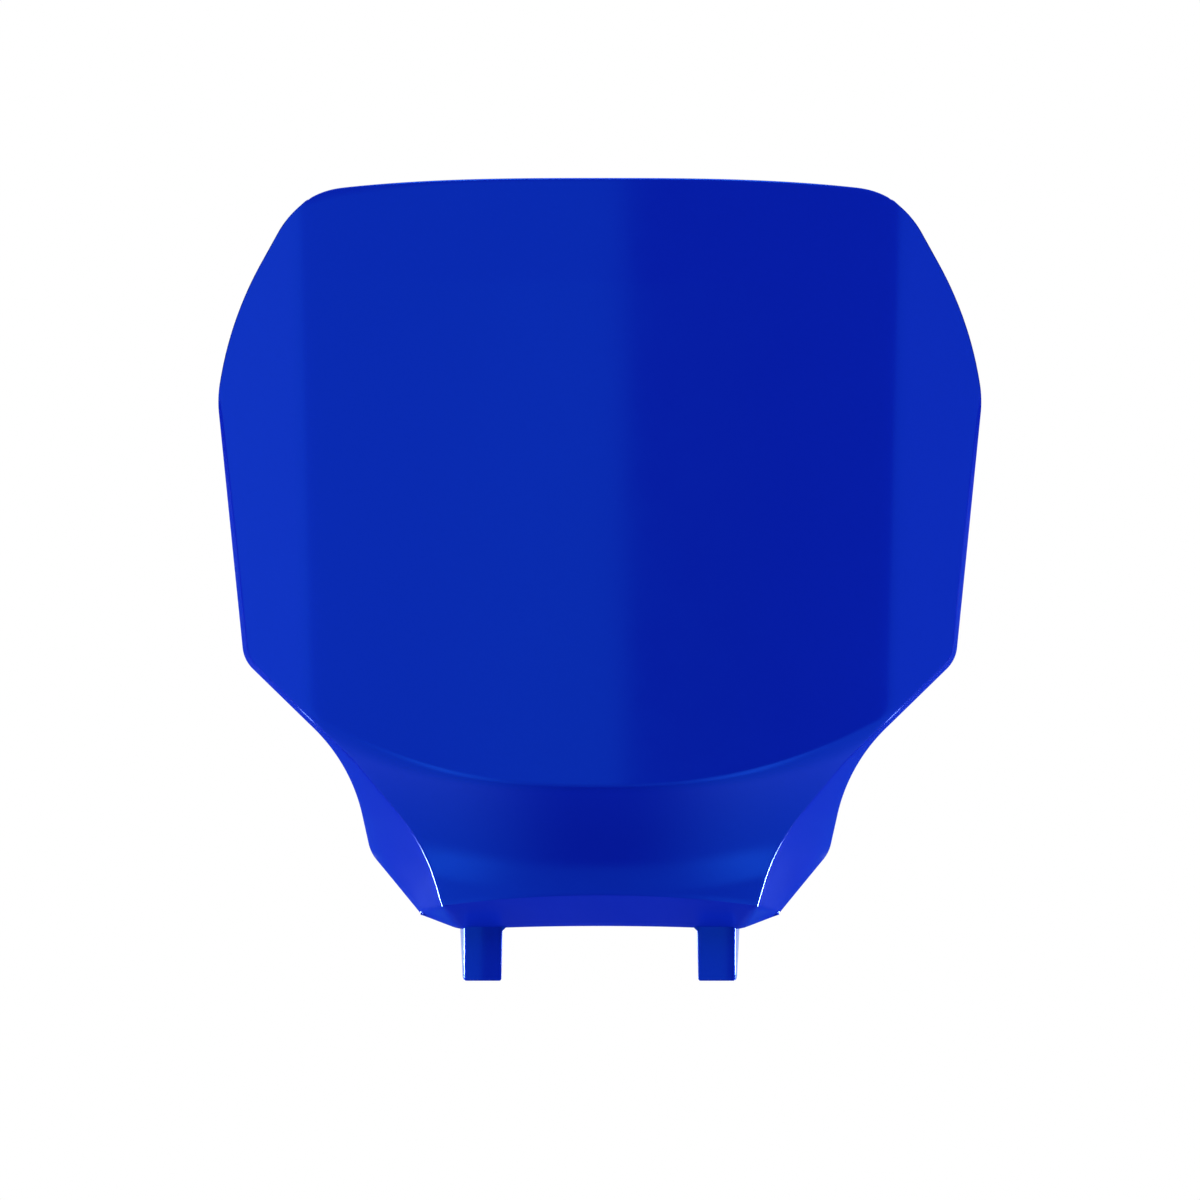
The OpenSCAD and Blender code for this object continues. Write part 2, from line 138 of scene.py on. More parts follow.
def lip_depth(z):
    return chin_depth(0, lip_height) + (lip_height - z) * tan(lip_angle)


def lip_line(x):
    bow = bend_depth(x, lip_height) + chin_depth(x, lip_height) - lip_depth(lip_height)
    return lip_height - bow / (tan(lip_angle) - tan(chin_foot_angle))


def face_depth(x, z):
    lean = tan(lean_angle) * soft_ramp(z - lean_height, lean_softness)
    board = bend_depth(x, z) + lean + chin_depth(x, z)
    return board + soft_ramp(lip_depth(z) - board, 0.5)


def face_slopes(x, z):
    across = (face_depth(x + 0.1, z) - face_depth(x - 0.1, z)) / 0.2
    up = (face_depth(x, z + 0.1) - face_depth(x, z - 0.1)) / 0.2
    return across, up


def unit(vectors):
    return vectors / np.linalg.norm(vectors, axis=-1, keepdims=True)


def on_face(x, z, behind=0.0):
    """Points of the front face, or of the back face one wall behind it."""
    across, up = face_slopes(x, z)
    stretch = np.sqrt(1 + across**2 + up**2)
    return np.stack([x, face_depth(x, z) + behind * wall * stretch, z], -1)


# Heights of the rows of the sheet at its free edge, closest where the outline or the face turns:
# each mark is a height and the number of rows from there down to the next one.
edge_z, edge_x = rounded_outline(edge_start, edge_corners, edge_end)
edge_stops = [edge_start, *edge_corners, edge_end]


def arc_ends(i):
    arc = rounded_corner(edge_stops[i], edge_corners[i], edge_stops[i + 2], edge_corners[i][2], 1)
    return arc[0][1], arc[1][1]


roll_width, roll_depth = 1.6, 3.3
roll_fades = [-62, 6]
fold_row_height = fold_side_height - 0.6 * roll_width
lip_row_height = edge_end[1] + 0.75 * roll_width
row_marks = [
    (corner_height, 12),
    (arc_ends(0)[1], 10),
    (lean_height + lean_softness, 6),
    (lean_height - lean_softness, 10),
    (arc_ends(2)[0], 12),
    (arc_ends(2)[1], 20),
    (arc_ends(3)[0], 12),
    (arc_ends(3)[1], 8),
    (fold_side_height + 5, 24),
    (fold_side_height - 5, 28),
    (arc_ends(5)[0], 12),
    (arc_ends(5)[1], 15),
    (lip_row_height, 5),
]
row_z = [
    top + (below[0] - top) * i / steps
    for (top, steps), below in zip(row_marks, row_marks[1:] + [(edge_end[1], 0)])
    for i in range(steps)
] + [edge_end[1]]
row_z = np.array(row_z)
lip_row = len(row_z) - 1 - row_marks[-1][1]
rows = len(row_z)
past_lip = np.clip((np.arange(rows) - lip_row) / row_marks[-1][1], 0, 1)
board_rows = row_z > fold_row_height

# The crease between chin and side wall runs from the fold to the lip and on to a peg's root.
lip_crease = (49.4, float(lip_line(np.array(49.4))))
crease_z, crease_x = rounded_outline(
    (fold_half_width, fold_side_height),
    [(77.8, fold_side_height - 8.6, 80), (55, lip_height + 15.5, 60)],
    lip_crease,
)
crease_height = np.interp(
    row_z,
    [lip_row_height, lip_height + 13, fold_row_height],
    [lip_crease[1], lip_height + 13, fold_side_height],
)
edge = np.stack([np.interp(row_z, edge_z, edge_x), row_z], -1)
edge_run = (np.interp(row_z + 0.4, edge_z, edge_x) - np.interp(row_z - 0.4, edge_z, edge_x)) / 0.8
inward = unit(np.stack([-np.ones(rows), edge_run], -1))
border = np.interp(row_z, roll_fades, [roll_width, 0.75 * roll_width])[:, None]
crease = np.where(
    board_rows[:, None],
    edge + inward * border,
    np.stack([np.interp(crease_height, crease_z, crease_x), crease_height], -1),
)
lip_end = np.array([peg_outer + 0.15, lip_foot_height - 1])
past = past_lip[:, None]
crease = np.where(past > 0, np.array(lip_crease) + (lip_end - lip_crease) * past, crease)


def top_bow(x):
    return 2.3 * (2 * x / 150) ** 3


def top_edge(x):
    turn_down, corner_run = corner_drop - top_bow(edge_start[0]), 12.6
    into_corner = np.clip((x - edge_start[0] + corner_run) / corner_run, 0, 1)
    return top_height - top_bow(x) - turn_down * into_corner**2.4


top_end = edge[0, 0] - roll_width / 2
crease[0] = [top_end, top_edge(top_end)]
inward[0] = unit(np.array([-1, 0.12]))
inward[lip_row + 1 :] = [-1, 0]

# Depth of the free edge: plain at the top, rolled down the sides, deep along the chin's walls.
wall_crease = crease[np.minimum(np.arange(rows), lip_row)]
crease_depth = face_depth(wall_crease[:, 0], wall_crease[:, 1])
crease_above, crease_below = (np.interp(crease_height + h, crease_z, crease_x) for h in (1, -1))
crease_slope = (crease_above - crease_below) / 2
square_out = unit(np.stack([np.ones(rows), -crease_slope], -1))
wall_run = ((edge - wall_crease) * square_out).sum(-1)
rolled = crease_depth + np.interp(row_z, roll_fades, [roll_depth, 0])
edge_depth = np.where(
    row_z > fold_side_height + 5,
    np.maximum(face_depth(edge[:, 0], edge[:, 1]), rolled),
    crease_depth + np.where(board_rows, roll_depth, wall_run * tan(wall_angle)),
)
edge_points = np.stack([edge[:, 0], edge_depth, edge[:, 1]], -1)

# Height of each row at the middle, and how it bows on its way out.
level_height = (edge_corners[2][1] + edge_corners[3][1]) / 2
top_lift = np.clip((row_z - lean_height) / (corner_height - lean_height), 0, 1) ** 1.5
fold_drop = np.clip((row_z - level_height) / (fold_row_height - level_height), 0, 1)
middle_height = np.where(
    board_rows,
    row_z + corner_drop * top_lift - (fold_row_height - fold_height) * fold_drop,
    np.interp(row_z, [lip_row_height, fold_row_height], [lip_height, fold_height]),
)
middle_height = np.where(
    past_lip > 0, lip_height + (lip_foot_height - lip_height) * past_lip, middle_height
)
bow = np.where(
    row_z > lean_height,
    3.2,
    2.4 - 0.4 * np.clip((row_z - fold_row_height) / (lip_row_height - fold_row_height), 0, 1),
)
middle_cols, turn_cols, band_cols, round_cols, wall_cols = 24, 14, 6, 6, 4


def away(out):
    """Unit vectors square to ones that run outward over the face, toward the back."""
    x, y, z = out[..., 0], out[..., 1], out[..., 2]
    flat = np.hypot(x, z)
    return np.stack([-y * x / flat, flat, -y * z / flat], -1)


def half_sheet(behind):
    """Right half of the front face (behind = 0) or of the back face (behind = 1), row by row."""
    across, up = face_slopes(crease[:, 0], crease[:, 1])
    face_normal = unit(np.stack([-across, np.ones(rows), -up], -1))
    corner = on_face(crease[:, 0], crease[:, 1])
    reach = edge_points - corner
    out = unit(reach)
    wall_normal = away(out)
    joint = face_normal + wall_normal
    corner = corner + behind * joint * 2 * wall / (joint**2).sum(-1, keepdims=True)
    softness = np.where(np.arange(rows) <= lip_row, 0.5, wall)
    softness = np.minimum(softness, np.linalg.norm(reach, axis=-1) * 0.35)[:, None]
    end = corner[:, [0, 2]] + inward * softness
    near = on_face(end[:, 0], end[:, 1], behind)
    far = corner + out * softness * (1 - behind / 2)
    rim = edge_points + behind * (wall_normal * wall - out * 0.35)
    turn = band_line(middle_height)
    turn_in = np.minimum(turn - turn_half, 0.84 * end[:, 0])
    turn_out = np.minimum(turn + turn_half, 0.93 * end[:, 0])
    columns = []
    for x in (
        *(turn_in * j / middle_cols for j in range(middle_cols)),
        *(turn_in + (turn_out - turn_in) * j / turn_cols for j in range(turn_cols)),
        *(turn_out + (end[:, 0] - turn_out) * j / band_cols for j in range(band_cols)),
    ):
        z = middle_height + (end[:, 1] - middle_height) * (x / end[:, 0]) ** bow
        z[0] = top_edge(x[0])
        columns.append(on_face(x, z, behind))
    for j in range(round_cols + 1):
        t = j / round_cols
        columns.append(near * (1 - t) ** 2 + corner * 2 * t * (1 - t) + far * t**2)
    for j in range(1, wall_cols + 1):
        columns.append(far + (rim - far) * j / wall_cols)
    return np.stack(columns, 1)


def both_halves(half):
    return np.concatenate([half[:, :0:-1] * [-1, 1, 1], half], 1)


front, back = both_halves(half_sheet(0)), both_halves(half_sheet(1))
cols = front.shape[1]

# The free edge is rounded all the way round: two small arcs joined by the plain edge.
loop = np.array(
    [(0, j) for j in range(cols)]
    + [(i, cols - 1) for i in range(1, rows)]
    + [(rows - 1, j) for j in range(cols - 2, -1, -1)]
    + [(i, 0) for i in range(rows - 2, 0, -1)]
)
rim_line = front[loop[:, 0], loop[:, 1]]
inner_line = front[np.clip(loop[:, 0], 1, rows - 2), np.clip(loop[:, 1], 1, cols - 2)]
along = unit(np.roll(rim_line, -1, 0) - np.roll(rim_line, 1, 0))
outward = rim_line - inner_line
outward = unit(outward - along * (outward * along).sum(-1, keepdims=True))
to_back = away(outward)
edge_radius = 0.45
arc = [math.radians(a) for a in (0, 22.5, 45, 67.5, 90)]
edge_section = [(edge_radius * (math.sin(a) - 1.1), edge_radius * (1 - math.cos(a))) for a in arc]
edge_section += [(out, wall - back_by) for out, back_by in reversed(edge_section)]
rim_lines = [rim_line + outward * out + to_back * back_by for out, back_by in edge_section]

sheet_points = np.concatenate([front.reshape(-1, 3), back.reshape(-1, 3), *rim_lines])
place = {(int(i), int(j)): n for n, (i, j) in enumerate(loop)}
per_face, per_line = rows * cols, len(loop)


def point_number(i, j, on_back):
    n = place.get((i, j))
    if n is None:
        return on_back * per_face + i * cols + j
    return 2 * per_face + (len(edge_section) - 1) * per_line * on_back + n


sheet_faces = []
for i in range(rows - 1):
    for j in range(cols - 1):
        ring = [(i, j), (i, j + 1), (i + 1, j + 1), (i + 1, j)]
        sheet_faces.append([point_number(*k, 0) for k in ring])
        sheet_faces.append([point_number(*k, 1) for k in reversed(ring)])
for line in range(len(edge_section) - 1):
    for n in range(per_line):
        a = 2 * per_face + line * per_line + n
        b = 2 * per_face + line * per_line + (n + 1) % per_line
        sheet_faces.append([a, a + per_line, b + per_line, b])

moulding_mesh = bpy.data.meshes.new("board_moulding")
moulding = bmesh.new()


def add_to_moulding(points, faces, round_by=0.0):
    """Adds one closed form, in millimetres from the front of the board; its sharp edges are
    rounded only when round_by is given.
    """
    form = bmesh.new()
    corners = [form.verts.new(p) for p in points]
    for face in faces:
        form.faces.new([corners[k] for k in face])
    bmesh.ops.delete(form, geom=[v for v in form.verts if not v.link_faces], context="VERTS")
    bmesh.ops.recalc_face_normals(form, faces=form.faces)
    if round_by:
        sharp = [e for e in form.edges if e.calc_face_angle(0) > math.radians(35)]
        bmesh.ops.bevel(
            form, geom=sharp, offset=round_by, segments=2,
            profile=0.5, affect="EDGES", clamp_overlap=True,
        )
    bmesh.ops.translate(form, verts=form.verts, vec=(0, -bolt_behind_front, 0))
    part = bpy.data.meshes.new("part")
    form.to_mesh(part)
    form.free()
    moulding.from_mesh(part)
    bpy.data.meshes.remove(part)


add_to_moulding(sheet_points.tolist(), sheet_faces)

# PEGS
# Two channels of the same moulding, open to the back, which push into the lower fork clamp.
# The outer wall is drafted and tapered so that a peg leaves the mould, and two webs carry each
# peg up behind the lip into the back of the chin.
peg_deep, peg_wall, peg_long, peg_front_radius, peg_edge_radius = 10, 2.2, 17, 1.4, 0.35
inner_draft, outer_draft, root_slope, web_half = 0.4, 0.8, 1.3, 0.8
peg_front = float(lip_depth(lip_foot_height))
peg_top = lip_foot_height + wall
peg_tip = lip_foot_height - peg_long
peg_face_outer = peg_outer - 1.2


def peg_sides(z):
    """Inner and outer limit of a peg at a height, with the corners of its tip rounded."""
    t = max(0.0, (lip_foot_height - z) / peg_long)
    inner, outer = peg_inner + inner_draft * t, peg_outer - outer_draft * t
    for side, radius in ((1, peg_front_radius), (0, peg_front_radius / 2)):
        up = radius - (z - peg_tip)
        if up > 0:
            cut = radius - math.sqrt(max(0.0, radius**2 - up**2))
            outer, inner = (outer - cut, inner) if side else (outer, inner + cut)
    return inner, outer


def peg_section(z):
    """Section of a peg at a height: round outside front corner, channel open to the back."""
    inner, outer = peg_sides(z)
    below_round = max(0.0, peg_edge_radius - (z - peg_tip))
    ease = peg_edge_radius - math.sqrt(max(0.0, peg_edge_radius**2 - below_round**2))
    front_corner = rounded_corner(
        (peg_inner, 0), (peg_face_outer, 0), (peg_outer, peg_deep), peg_front_radius, 8
    )
    inner_corner = rounded_corner((inner, 5), (inner, 0), (inner + 5, 0), peg_edge_radius, 3)
    loop_points = [(inner, peg_deep)] + [tuple(p) for p in inner_corner + front_corner]
    loop_points += [(peg_outer, peg_deep), (peg_outer - peg_wall - 0.14, peg_deep)]
    loop_points += [(peg_face_outer - peg_wall, peg_wall), (peg_inner + peg_wall, peg_wall)]
    loop_points += [(peg_inner + peg_wall, peg_deep)]
    section = []
    for x, y in loop_points:
        y = min(max(y, ease), peg_deep - ease)
        section.append((min(max(x, inner), outer), peg_front + y, z))
    return section


peg_levels = [peg_top, lip_foot_height, lip_foot_height - root_slope, peg_tip + 6]
peg_levels += [
    peg_tip + peg_front_radius * (1 - math.sin(math.radians(a))) for a in range(0, 60, 12)
]
peg_levels += [peg_tip + h for h in (0.22, 0.12, 0.05, 0.0)]
for side in (1, -1):
    sections = [peg_section(z) for z in peg_levels]
    per_level = len(sections[0])
    points = [(side * x, y, z) for section in sections for x, y, z in section]
    faces = [list(range(per_level)), list(range(len(points) - per_level, len(points)))]
    for level in range(len(sections) - 1):
        for n in range(per_level):
            a, b = level * per_level + n, level * per_level + (n + 1) % per_level
            faces.append([a, b, b + per_level, a + per_level])
    add_to_moulding(points, faces)


def prism(outline, place_point, start, end, round_by):
    """A closed slab: a flat outline swept from start to end."""
    points = [place_point(p, start) for p in outline] + [place_point(p, end) for p in outline]
    n = len(outline)
    faces = [list(range(n)), list(range(n, 2 * n))]
    faces += [[k, (k + 1) % n, n + (k + 1) % n, n + k] for k in range(n)]
    add_to_moulding(points, faces, round_by)


def side_view(p, x):
    return x, p[0], p[1]


def front_view(p, y):
    return p[0], y, p[1]


def top_view(p, z):
    return p[0], p[1], z


# The small slope at the inner root of each peg.
for side in (1, -1):
    slope = [
        (side * (peg_inner + 0.5), lip_foot_height - root_slope - 0.5),
        (side * peg_inner, lip_foot_height - root_slope),
        (side * (peg_inner - root_slope), lip_foot_height),
        (side * (peg_inner - root_slope), peg_top),
        (side * (peg_inner + 0.5), peg_top),
    ]
    prism(slope, front_view, peg_front, peg_front + peg_wall, 0)

# The webs behind each peg, tapered along the back of the chin.
for middle in (peg_inner + peg_wall / 2, peg_outer - 0.6 - peg_wall / 2):
    web_foot, web_top = float(lip_line(np.array(middle))), lip_height + 15.8
    heights = [peg_top - wall / 2]
    heights += [web_foot * (1 - i / 8) + web_top * i / 8 for i in range(9)]
    across = np.full(len(heights), middle)
    behind_face = on_face(across, np.array(heights), 0.6)
    outline = [(float(p[1]), float(p[2])) for p in behind_face]
    rear, below_foot = peg_front + peg_deep, lip_foot_height - 1
    outline += [(rear, lip_foot_height), (rear, below_foot), (rear - 5, below_foot)]
    for side in (1, -1):
        prism(outline, side_view, side * middle - web_half, side * middle + web_half, 0.25)

# BOLT LUG
# A rounded shelf of the same moulding stands out behind the board. One M6 bolt goes down through
# its plain hole, and two braces under it keep it square to the board.
lug_half, lug_half_thick, bore = 11, 2, 3.3
brace_thick, fillet = 2.2, 1.6
lug_root = bolt_behind_front - bolt_reach - wall / 3
steps = 72
turns = [2 * math.pi * k / steps for k in range(steps)]
bore_ring = [(math.sin(a), math.cos(a)) for a in turns]


def lug_edge(sine, cosine, inset):
    """Outline of the lug in one direction from the bolt: round behind, square at the board."""
    reach = lug_half - inset
    if cosine >= 0:
        return sine * reach, cosine * reach
    root = bolt_behind_front - lug_root
    scale = min(reach / abs(sine) if abs(sine) > 1e-6 else 1e9, root / -cosine)
    return sine * scale, cosine * scale


def rounded_rim(kind, radius, up):
    """One rounded rim of the lug's section: how far it is cut in, and its height."""
    cuts = ((radius, 0), (0.3 * radius, 0.3 * radius), (0, radius))
    return [(kind, inset, up * (lug_half_thick - lower)) for inset, lower in cuts]


lug_section = rounded_rim("out", 0.5, 1) + rounded_rim("out", 0.5, -1)[::-1]
lug_section += rounded_rim("hole", 0.3, -1) + rounded_rim("hole", 0.3, 1)[::-1]
lug_points, lug_faces = [], []
for kind, inset, height in lug_section:
    for sine, cosine in bore_ring:
        if kind == "out":
            x, y = lug_edge(sine, cosine, inset)
        else:
            x, y = sine * (bore + inset), cosine * (bore + inset)
        lug_points.append((x, y + bolt_behind_front, height))
for ring_number in range(len(lug_section)):
    for n in range(steps):
        a = ring_number * steps + n
        b = ring_number * steps + (n + 1) % steps
        after = (ring_number + 1) % len(lug_section) * steps
        lug_faces.append([a, b, after + (n + 1) % steps, after + n])
add_to_moulding(lug_points, lug_faces)

brace_end = bolt_behind_front - 2
brace = [(lug_root, 0), (lug_root, -22), (brace_end, -lug_half_thick), (brace_end, 0)]
for side in (1, -1):
    prism(brace, side_view, side * (lug_half - brace_thick), side * lug_half, 0.3)

# Small hollow fillets where the lug and its braces leave the back of the board.
hollow_turns = [math.radians(a) for a in range(0, 91, 15)]
hollow = [(fillet * (1 - math.sin(a)), fillet * (1 - math.cos(a))) for a in hollow_turns]
board_back = wall + 0.05
inside = board_back - 0.6
for up in (1, -1):
    shape = [(board_back + run, up * (lug_half_thick + rise)) for run, rise in hollow]
    shape += [(inside, up * lug_half_thick), (inside, up * (lug_half_thick + fillet))]
    limit = lug_half - (0.5 if up > 0 else brace_thick)
    prism(shape, side_view, -limit, limit, 0)
for side in (1, -1):
    for face, turn in ((lug_half, 1), (lug_half - brace_thick, -1)):
        shape = [(side * (face + turn * rise), board_back + 0.15 + run) for run, rise in hollow]
        shape += [(side * face, inside), (side * (face + turn * fillet), inside)]
        prism(shape, top_view, -20.4, -1.6, 0)

# FINISH OF THE MOULDING
# Polypropylene coloured right through, as smooth as the polished mould that it comes from. Only
# the slow waves of a cooled moulding, fine handling scratches and faint dust break the gloss.
plastic = bpy.data.materials.new("blue_gloss_plastic")
plastic.use_nodes = True
tree = plastic.node_tree
tree.nodes.clear()
output = tree.nodes.new("ShaderNodeOutputMaterial")
gloss = tree.nodes.new("ShaderNodeBsdfPrincipled")
tree.links.new(gloss.outputs["BSDF"], output.inputs["Surface"])
for name, setting in (
    ("IOR", 1.7),
    ("Specular IOR Level", 1.0),
    ("Specular Tint", (0.008, 0.18, 1.0, 1)),
    ("Coat Weight", 0.02),
    ("Coat Roughness", 0.06),
    ("Coat IOR", 1.5),
    ("Sheen Weight", 0.5),
    ("Sheen Roughness", 0.3),
    ("Sheen Tint", (0.0, 0.48, 1.0, 1)),
):
    gloss.inputs[name].default_value = setting
where = tree.nodes.new("ShaderNodeTexCoord")


def noise(scale, detail, roughness=0.5, stretch=(1, 1, 1)):
    mapping = tree.nodes.new("ShaderNodeMapping")
    mapping.inputs["Scale"].default_value = stretch
    tree.links.new(where.outputs["Object"], mapping.inputs["Vector"])
    texture = tree.nodes.new("ShaderNodeTexNoise")
    texture.inputs["Scale"].default_value = scale
    texture.inputs["Detail"].default_value = detail
    texture.inputs["Roughness"].default_value = roughness
    tree.links.new(mapping.outputs["Vector"], texture.inputs["Vector"])
    return texture.outputs["Fac"]


def spread(value, low, high, to_low, to_high):
    between = tree.nodes.new("ShaderNodeMapRange")
    names = ("From Min", "From Max", "To Min", "To Max")
    for name, number in zip(names, (low, high, to_low, to_high)):
        between.inputs[name].default_value = number
    tree.links.new(value, between.inputs["Value"])
    return between.outputs["Result"]


tint = tree.nodes.new("ShaderNodeMix")
tint.data_type = "RGBA"
tint.inputs["A"].default_value = (0.0016, 0.0098, 0.405, 1)
tint.inputs["B"].default_value = (0.0024, 0.0118, 0.44, 1)
tree.links.new(noise(9, 3), tint.inputs["Factor"])
tree.links.new(tint.outputs["Result"], gloss.inputs["Base Color"])
tree.links.new(spread(noise(60, 5, 0.6), 0.3, 0.75, 0.10, 0.16), gloss.inputs["Roughness"])


def bump(height, strength, distance):
    node = tree.nodes.new("ShaderNodeBump")
    node.inputs["Strength"].default_value = strength
    node.inputs["Distance"].default_value = distance
    tree.links.new(height, node.inputs["Height"])
    return node


waves = bump(noise(120, 2), 0.25, 0.00004)
scratches = bump(noise(900, 2, 0.5, (1, 1, 0.06)), 0.12, 0.00001)
tree.links.new(waves.outputs["Normal"], scratches.inputs["Normal"])
tree.links.new(scratches.outputs["Normal"], gloss.inputs["Normal"])

bmesh.ops.scale(moulding, verts=moulding.verts, vec=(0.001, 0.001, 0.001))
moulding.to_mesh(moulding_mesh)
moulding.free()
moulding_mesh.shade_smooth()
moulding_mesh.set_sharp_from_angle(angle=math.radians(32))
moulding_mesh.materials.append(plastic)
board_moulding = bpy.data.objects.new("board_moulding", moulding_mesh)
bpy.context.scene.collection.objects.link(board_moulding)
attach(board_moulding, "root")
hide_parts("number_board")

# FLOOR
# A plain pale floor well below the hanging board. It takes the light and the board's shadow, fades
# into the white background toward its rim, and can be looked through from below.
floor_mesh = bpy.data.meshes.new("studio_floor")
disc = bmesh.new()
bmesh.ops.create_circle(disc, cap_ends=True, segments=96, radius=1.6)
disc.to_mesh(floor_mesh)
disc.free()
studio_floor = bpy.data.objects.new("studio_floor", floor_mesh)
studio_floor.location = (0, 0, -0.9)
bpy.context.scene.collection.objects.link(studio_floor)
studio_floor.visible_glossy = False
studio_floor.visible_diffuse = False
pale = bpy.data.materials.new("pale_floor")
pale.use_nodes = True
nodes, links = pale.node_tree.nodes, pale.node_tree.links
nodes.clear()
floor_out = nodes.new("ShaderNodeOutputMaterial")
matt = nodes.new("ShaderNodeBsdfDiffuse")
matt.inputs["Color"].default_value = (0.9, 0.9, 0.9, 1)
white = nodes.new("ShaderNodeEmission")
white.inputs["Color"].default_value = (1, 1, 1, 1)
ray = nodes.new("ShaderNodeLightPath")
floor_place = nodes.new("ShaderNodeTexCoord")
from_middle = nodes.new("ShaderNodeVectorMath")
from_middle.operation = "LENGTH"
links.new(floor_place.outputs["Object"], from_middle.inputs[0])
fade = nodes.new("ShaderNodeMapRange")
fade.inputs["From Min"].default_value = 0.3
fade.inputs["From Max"].default_value = 1.5
links.new(from_middle.outputs["Value"], fade.inputs["Value"])
seen = nodes.new("ShaderNodeMath")
seen.operation = "MULTIPLY"
links.new(fade.outputs["Result"], seen.inputs[0])
links.new(ray.outputs["Is Camera Ray"], seen.inputs[1])
floor_mix = nodes.new("ShaderNodeMixShader")
links.new(seen.outputs["Value"], floor_mix.inputs["Fac"])
links.new(matt.outputs["BSDF"], floor_mix.inputs[1])
links.new(white.outputs["Emission"], floor_mix.inputs[2])
underside = nodes.new("ShaderNodeNewGeometry")
clear = nodes.new("ShaderNodeBsdfTransparent")
one_sided = nodes.new("ShaderNodeMixShader")
links.new(underside.outputs["Backfacing"], one_sided.inputs["Fac"])
links.new(floor_mix.outputs["Shader"], one_sided.inputs[1])
links.new(clear.outputs["BSDF"], one_sided.inputs[2])
links.new(one_sided.outputs["Shader"], floor_out.inputs["Surface"])
floor_mesh.materials.append(pale)

# STUDIO
# Soft light as in a product studio: softboxes above, in front, beside and below the hanging board,
# and small gridded lights close to it that draw the bright lines along its chin and its pegs. The
# gloss mirrors a ring of white cards around the camera, brighter on the left and lower down.
def softbox(name, place, aim, size, level, lights="all", beam=180):
    """A rectangular light of the given brightness; a grid in front can narrow its beam."""
    lamp = bpy.data.lights.new(name, "AREA")
    lamp.shape = "RECTANGLE"
    lamp.size, lamp.size_y = size
    lamp.energy = level * math.pi * size[0] * size[1]
    if beam < 180:
        half_beam = math.radians(beam / 2)
        lamp.spread = 2 * half_beam
        lamp.energy *= 1 - half_beam / math.tan(half_beam)
    box = bpy.data.objects.new(name, lamp)
    box.location = place
    box.rotation_mode = "QUATERNION"
    box.rotation_quaternion = (Vector(aim) - Vector(place)).to_track_quat("-Z", "Y")
    box.visible_camera = False
    box.visible_glossy = lights != "colour"
    box.visible_diffuse = lights != "gloss"
    bpy.context.scene.collection.objects.link(box)


board_middle, chin_middle = (0, 0, -0.07), (0, 0, -0.12)
softbox("softbox_above", (0, -1.0, 1.5), board_middle, (1.6, 1.0), 5.65)
softbox("softbox_front", (0, -2.4, -0.7), board_middle, (1.5, 1.5), 2.3, "colour")
softbox("softbox_below", (0, 0.33, -0.8), (0, 0, -0.15), (1.0, 0.3), 4.8, "colour")
for name, side in (("left", -1), ("right", 1)):
    softbox(
        "softbox_" + name, (side * 0.95, 0.37, -0.39), chin_middle,
        (0.8, 0.8), 7.3, "colour",
    )
    softbox(
        "low_softbox_" + name, (side * 0.72, -0.09, -0.61), chin_middle,
        (0.4, 0.4), 6.2, "colour",
    )
    softbox(
        "chin_light_" + name, (side * 0.1665, 0.027, -0.2135), (side * 0.051, -0.0085, -0.167),
        (0.05, 0.03), 155.0, "gloss", 32,
    )
    softbox(
        "corner_light_" + name, (side * 0.147, 0.009, -0.1495), (side * 0.0905, -0.009, -0.112),
        (0.024, 0.012), 16.0, "gloss", 28,
    )
    softbox(
        "peg_light_" + name, (side * 0.16, 0.022, -0.187), (side * 0.0435, -0.006, -0.187),
        (0.075, 0.014), 120.0, "gloss", 40,
    )

world = bpy.data.worlds.new("studio")
bpy.context.scene.world = world
world.use_nodes = True
nodes, links = world.node_tree.nodes, world.node_tree.links
nodes.clear()
world_out = nodes.new("ShaderNodeOutputWorld")
looking = nodes.new("ShaderNodeTexCoord")
split = nodes.new("ShaderNodeSeparateXYZ")
links.new(looking.outputs["Generated"], split.inputs["Vector"])
ray = nodes.new("ShaderNodeLightPath")


def math_node(operation, first, second=None):
    """A Math node whose inputs are sockets or plain numbers."""
    node = nodes.new("ShaderNodeMath")
    node.operation = operation
    for socket, value in zip(node.inputs, (first, second)):
        if isinstance(value, (int, float)):
            socket.default_value = value
        elif value is not None:
            links.new(value, socket)
    return node.outputs["Value"]


def ramp(value, start, end):
    """Rises smoothly from 0 at start to 1 at end."""
    node = nodes.new("ShaderNodeMapRange")
    node.interpolation_type = "SMOOTHSTEP"
    node.inputs["From Min"].default_value = start
    node.inputs["From Max"].default_value = end
    links.new(value, node.inputs["Value"])
    return node.outputs["Result"]


def in_degrees(angle):
    return math_node("MULTIPLY", angle, 180 / math.pi)


toward_front = math_node("MULTIPLY", split.outputs["Y"], -1)
turn_angle = in_degrees(math_node("ARCTAN2", split.outputs["X"], toward_front))
side_angle = math_node("ABSOLUTE", turn_angle)
rise_angle = in_degrees(math_node("ARCSINE", split.outputs["Z"]))


def card(level, angle, left, right, low, high, soft=(4, 4, 4, 4)):
    """A white card, given by its sides in degrees, each with its own softness."""
    mask = math_node(
        "MULTIPLY",
        ramp(angle, left - soft[0], left + soft[0]),
        ramp(angle, right + soft[1], right - soft[1]),
    )
    mask = math_node("MULTIPLY", mask, ramp(rise_angle, low - soft[2], low + soft[2]))
    mask = math_node("MULTIPLY", mask, ramp(rise_angle, high + soft[3], high - soft[3]))
    return math_node("MULTIPLY", mask, level)


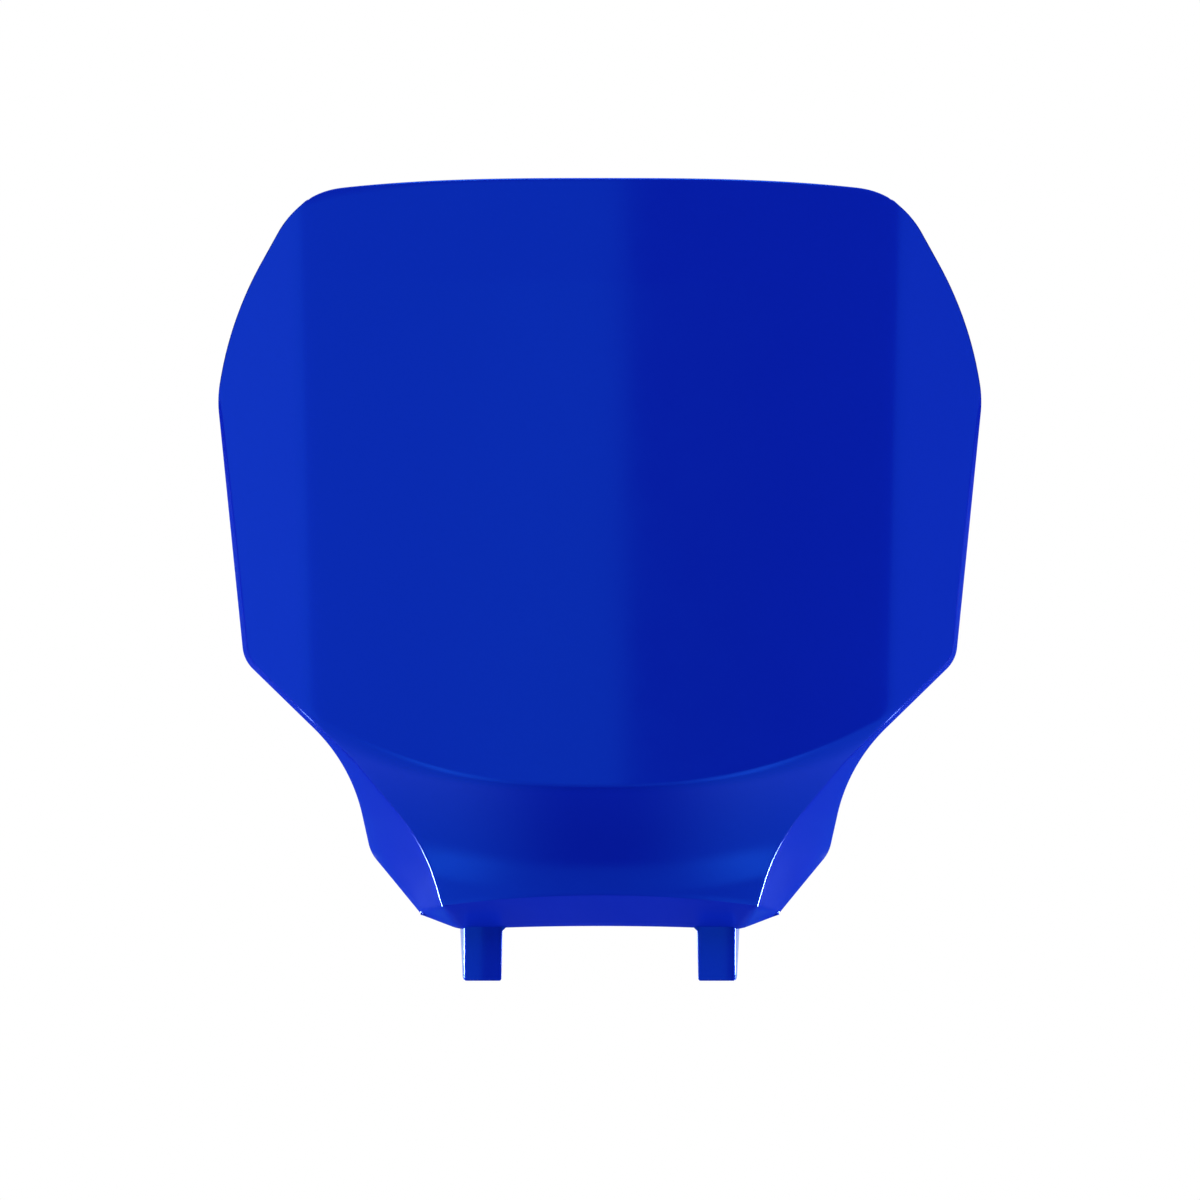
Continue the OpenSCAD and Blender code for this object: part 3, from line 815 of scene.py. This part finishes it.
# In front: a card on the left, a dim one on the right and two beside them. Lower down: one all
# round, a brighter one on each side and one in the middle. Then the ceiling, and the wall behind.
mirrored = card(0.55, turn_angle, -44, 2.9, -14, 12, (4, 1.2, 4, 8))
sideways = math_node("ABSOLUTE", split.outputs["X"])
for shown in (
    card(0.05, turn_angle, 2.9, 44, -14, 12, (1.2, 4, 4, 8)),
    card(0.85, turn_angle, -70, -44, -14, 12),
    card(0.48, turn_angle, 44, 70, -14, 12),
    math_node("MULTIPLY", ramp(sideways, 0.04, 0.40), card(0.64, side_angle, -30, 95, -75, -14)),
    card(0.9, side_angle, 18, 30, -34, -16, (8, 6, 5, 4)),
    math_node("MULTIPLY", ramp(sideways, 0.40, 0.04), card(0.28, side_angle, -30, 30, -34, -14)),
    math_node("MULTIPLY", ramp(rise_angle, 10, 45), 0.8),
):
    mirrored = math_node("ADD", mirrored, shown)
mirrored = math_node("ADD", mirrored, 0.05)
mirrored = math_node("MAXIMUM", mirrored, ramp(split.outputs["Y"], 0.76, 0.90))

# The cards show in the gloss only; to everything else the room is evenly dim.
reflected = math_node("MAXIMUM", ray.outputs["Is Glossy Ray"], ray.outputs["Is Transmission Ray"])
room_level = 0.26
above_room = math_node("SUBTRACT", mirrored, room_level)
glow = math_node("ADD", math_node("MULTIPLY", reflected, above_room), room_level)
room = nodes.new("ShaderNodeBackground")
room.inputs["Color"].default_value = (1, 1, 1, 1)
links.new(glow, room.inputs["Strength"])
backdrop = nodes.new("ShaderNodeBackground")
backdrop.inputs["Color"].default_value = (1, 1, 1, 1)
world_mix = nodes.new("ShaderNodeMixShader")
links.new(ray.outputs["Is Camera Ray"], world_mix.inputs["Fac"])
links.new(room.outputs["Background"], world_mix.inputs[1])
links.new(backdrop.outputs["Background"], world_mix.inputs[2])
links.new(world_mix.outputs["Shader"], world_out.inputs["Surface"])
bpy.context.scene.view_settings.view_transform = "Standard"

# CAMERA
# The photograph is square-on through a long lens: 375.7 mm of height and width fill its frame.
frame_width, distance, film_width = 0.37568, 8.0, 36
board_front = bolt_behind_front / 1000
camera_data = bpy.data.cameras.new("camera")
camera_data.sensor_width = film_width
camera_data.lens = film_width * distance / frame_width
camera = bpy.data.objects.new("camera", camera_data)
camera.location = (0.00005, -distance - board_front, -0.07514)
camera.rotation_euler = (math.radians(90), 0, 0)
camera_data.clip_start, camera_data.clip_end = 0.1, 100
bpy.context.scene.collection.objects.link(camera)
bpy.context.scene.camera = camera
